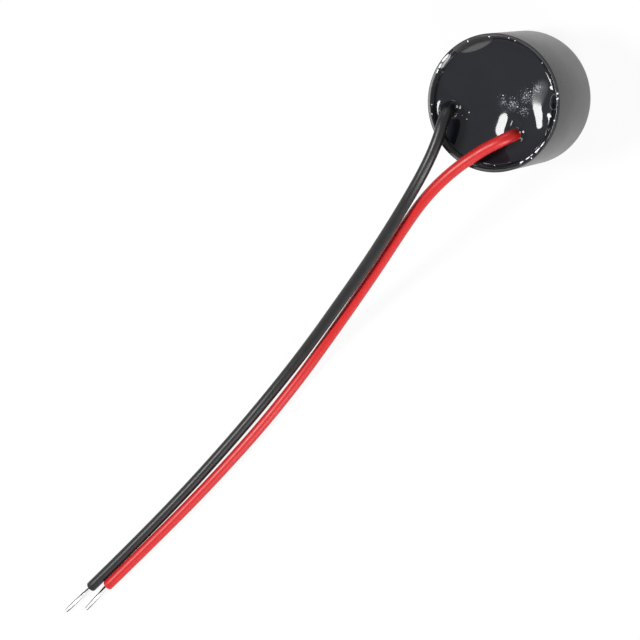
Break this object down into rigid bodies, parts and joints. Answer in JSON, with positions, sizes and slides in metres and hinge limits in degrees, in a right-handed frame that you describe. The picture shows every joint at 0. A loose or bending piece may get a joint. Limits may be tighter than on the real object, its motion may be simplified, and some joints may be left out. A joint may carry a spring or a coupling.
{
  "type": "piezo buzzer",
  "caption": "Round self-drive piezo buzzer: black cup case, resin-potted back, and a red and a black flying lead with bare tinned ends.",
  "frame": {"origin": "centre of the sound-hole face, which the buzzer stands on", "axes": "+Z along the case axis from the sound-hole face to the potted back; +X from the black lead exit towards the red one; the leads run off towards -Y"},
  "size_m": [0.0328, 0.0716, 0.0113],
  "materials": {
    "black_moulded_plastic": "satin moulded, slightly dull",
    "black_epoxy": "wet gloss, poured and cured",
    "board_laminate": "plain glass laminate",
    "copper_track": "etched copper",
    "moulding_compound": "matt moulded",
    "tinned_leg": "bright tin",
    "disc_brass": "rolled brass sheet",
    "piezo_ceramic": "fired, lapped",
    "fired_silver": "matt fired silver",
    "silicone_bead": "soft satin",
    "solder": "bright solder",
    "link_copper": "enamelled copper",
    "tinned_strand": "twisted strands dipped in solder",
    "chip_ceramic": "glazed resistor chip",
    "red_vinyl": "satin extruded sleeving",
    "black_vinyl": "satin extruded sleeving"
  },
  "bodies": {
    "root": {"bias_resistor_chip": "chip_ceramic", "bias_resistor_terminals": "tinned_leg", "black_lead_conductor": "tinned_strand", "black_lead_insulation": "black_vinyl", "black_lead_solder": "solder", "board_copper": "copper_track", "case": "black_moulded_plastic", "circuit_board": "board_laminate", "diaphragm": "disc_brass", "diaphragm_adhesive": "silicone_bead", "drive_board_solder": "solder", "drive_disc_solder": "solder", "drive_link_wire": "link_copper", "feedback_board_solder": "solder", "feedback_disc_solder": "solder", "feedback_electrode": "fired_silver", "feedback_link_wire": "link_copper", "feedback_resistor_chip": "chip_ceramic", "feedback_resistor_terminals": "tinned_leg", "ground_board_solder": "solder", "ground_disc_solder": "solder", "ground_link_wire": "link_copper", "load_resistor_chip": "chip_ceramic", "load_resistor_terminals": "tinned_leg", "main_electrode": "fired_silver", "piezo_ceramic": "piezo_ceramic", "potting": "black_epoxy", "red_lead_conductor": "tinned_strand", "red_lead_insulation": "red_vinyl", "red_lead_solder": "solder", "transistor_body": "moulding_compound", "transistor_legs": "tinned_leg"}
  },
  "joints": []
}
